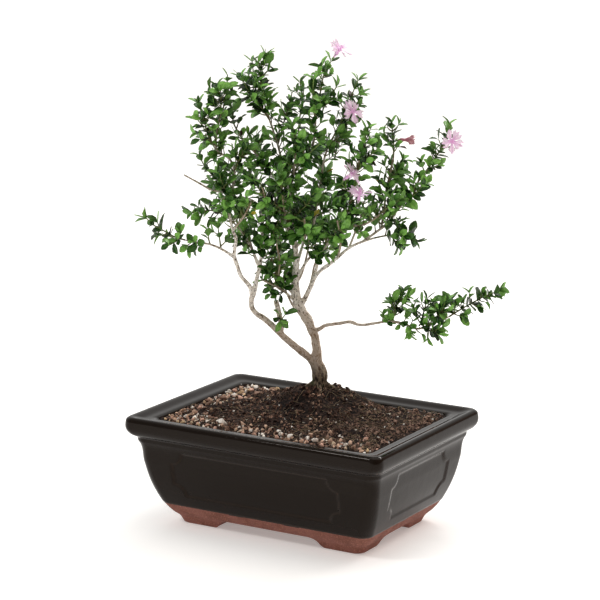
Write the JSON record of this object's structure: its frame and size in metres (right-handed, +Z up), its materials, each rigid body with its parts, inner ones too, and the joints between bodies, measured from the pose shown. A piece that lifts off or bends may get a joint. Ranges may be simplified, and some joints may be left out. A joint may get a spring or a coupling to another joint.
{
  "type": "serissa bonsai in a pot",
  "caption": "Serissa grown as a small flowering tree, with a forked pale trunk, small opposite leaves and lilac blooms, in soil in a black glazed footed pot.",
  "frame": {"origin": "under the middle of the whole outline, level with the soles of the pot's feet", "axes": "+Z up, the pot's long side along X, its front towards -Y"},
  "size_m": [0.2272, 0.1522, 0.3436],
  "materials": {
    "pot_glaze": "glazed clay",
    "soil": "damp soil",
    "drain_plastic": "moulded",
    "bark": "pale bark",
    "leaf": "waxy leaf",
    "petal": "soft petal",
    "faded_petal": "faded petal"
  },
  "bodies": {
    "root": {"bloom_middle": "petal", "bloom_right": "petal", "bloom_side": "petal", "bloom_top": "petal", "bloom_upper": "petal", "drain_screen_left": "drain_plastic", "drain_screen_right": "drain_plastic", "faded_bloom": "faded_petal", "pot": "pot_glaze", "soil": "soil", "spray_arm_hang": "leaf", "spray_arm_rise_a": "leaf", "spray_arm_rise_b": "leaf", "spray_arm_rise_c": "leaf", "spray_arm_tip": "leaf", "spray_back_a": "leaf", "spray_back_b": "leaf", "spray_back_c": "leaf", "spray_back_d": "leaf", "spray_back_e": "leaf", "spray_back_f": "leaf", "spray_belt_left": "leaf", "spray_belt_right": "leaf", "spray_bloom_sprig": "leaf", "spray_crown_left_a": "leaf", "spray_crown_left_b": "leaf", "spray_crown_left_c": "leaf", "spray_crown_left_d": "leaf", "spray_crown_top": "leaf", "spray_front_a": "leaf", "spray_front_b": "leaf", "spray_front_c": "leaf", "spray_front_d": "leaf", "spray_front_e": "leaf", "spray_left_arm_tip": "leaf", "spray_left_arm_twig": "leaf", "spray_left_front": "leaf", "spray_left_high": "leaf", "spray_left_inner": "leaf", "spray_left_low": "leaf", "spray_left_middle": "leaf", "spray_left_tip_a": "leaf", "spray_left_tip_b": "leaf", "spray_left_tip_c": "leaf", "spray_long_side": "leaf", "spray_long_tip": "leaf", "spray_right_front_a": "leaf", "spray_right_front_b": "leaf", "spray_right_high_a": "leaf", "spray_right_high_b": "leaf", "spray_right_high_c": "leaf", "spray_right_high_d": "leaf", "spray_right_low": "leaf", "spray_right_middle": "leaf", "spray_stub_leaves": "leaf", "spray_top_front": "leaf", "spray_top_right_a": "leaf", "spray_top_right_b": "leaf", "spray_top_right_c": "leaf", "trunk": "bark"}
  },
  "joints": []
}
